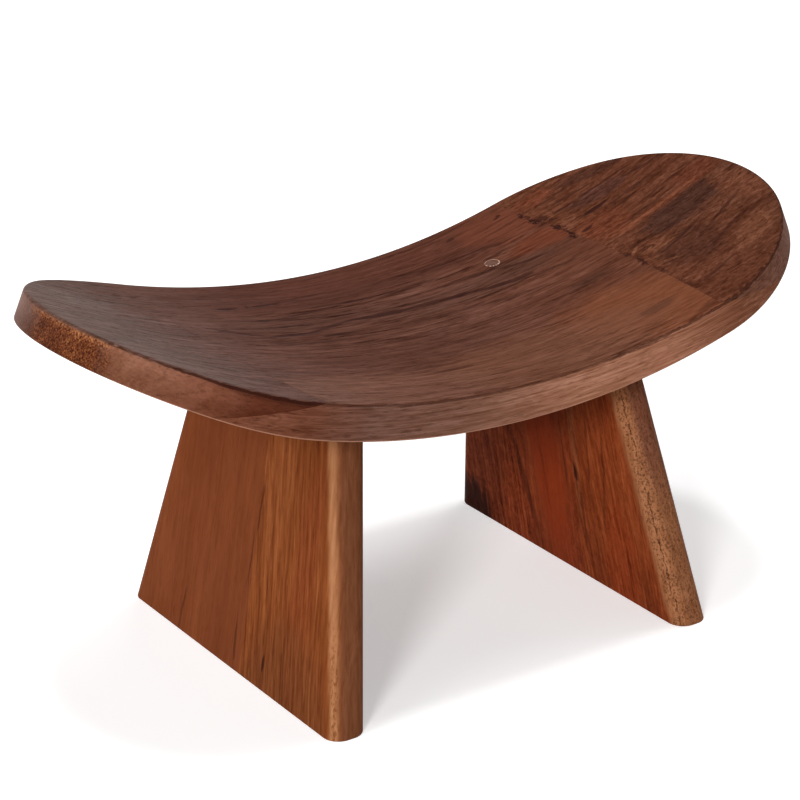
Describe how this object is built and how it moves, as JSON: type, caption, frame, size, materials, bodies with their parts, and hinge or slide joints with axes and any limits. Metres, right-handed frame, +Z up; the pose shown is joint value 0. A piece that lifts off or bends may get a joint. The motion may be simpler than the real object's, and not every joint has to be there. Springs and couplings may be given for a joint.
{
  "type": "folding meditation bench",
  "caption": "Low kneeling bench: a curved, upswept wooden seat on splayed board legs that fold outward under its ends on let-in butt hinges.",
  "frame": {"origin": "on the floor under the middle of the seat", "axes": "+X along the seat towards its right end, +Y towards the back, +Z up"},
  "size_m": [0.4598, 0.214, 0.2256],
  "materials": {
    "core_wood": "oiled, satin",
    "end_wood": "oiled, satin",
    "leg_wood": "oiled, satin",
    "plug_wood": "oiled, satin",
    "brass": "brushed",
    "steel": "brushed",
    "magnet": "nickel plated"
  },
  "bodies": {
    "seat": {"seat_core_front_board": "core_wood", "seat_core_back_board": "core_wood", "right_end_front_block": "end_wood", "right_end_back_block": "end_wood", "left_end_front_block": "end_wood", "left_end_back_block": "end_wood", "knot_plug": "plug_wood", "left_front_hinge_seat_leaf": "brass", "left_front_hinge_pin": "steel", "left_front_hinge_seat_screw_1": "brass", "left_front_hinge_seat_screw_2": "brass", "left_back_hinge_seat_leaf": "brass", "left_back_hinge_pin": "steel", "left_back_hinge_seat_screw_1": "brass", "left_back_hinge_seat_screw_2": "brass", "right_front_hinge_seat_leaf": "brass", "right_front_hinge_pin": "steel", "right_front_hinge_seat_screw_1": "brass", "right_front_hinge_seat_screw_2": "brass", "right_back_hinge_seat_leaf": "brass", "right_back_hinge_pin": "steel", "right_back_hinge_seat_screw_1": "brass", "right_back_hinge_seat_screw_2": "brass", "left_seat_magnet": "magnet", "right_seat_magnet": "magnet"},
    "left_leg": {"left_leg_front_board": "leg_wood", "left_leg_back_board": "leg_wood", "left_front_hinge_leg_leaf": "brass", "left_front_hinge_leg_screw_1": "brass", "left_front_hinge_leg_screw_2": "brass", "left_back_hinge_leg_leaf": "brass", "left_back_hinge_leg_screw_1": "brass", "left_back_hinge_leg_screw_2": "brass", "left_leg_magnet": "magnet"},
    "right_leg": {"right_leg_front_board": "leg_wood", "right_leg_back_board": "leg_wood", "right_front_hinge_leg_leaf": "brass", "right_front_hinge_leg_screw_1": "brass", "right_front_hinge_leg_screw_2": "brass", "right_back_hinge_leg_leaf": "brass", "right_back_hinge_leg_screw_1": "brass", "right_back_hinge_leg_screw_2": "brass", "right_leg_magnet": "magnet"}
  },
  "joints": [
    {"name": "left_leg_fold", "type": "hinge", "parent": "seat", "child": "left_leg", "pos_m": [-0.10299, 0, 0.16285], "axis": [0, 1, 0], "range_deg": [0, 99]},
    {"name": "right_leg_fold", "type": "hinge", "parent": "seat", "child": "right_leg", "pos_m": [0.10299, 0, 0.16285], "axis": [0, -1, 0], "range_deg": [0, 99]}
  ]
}
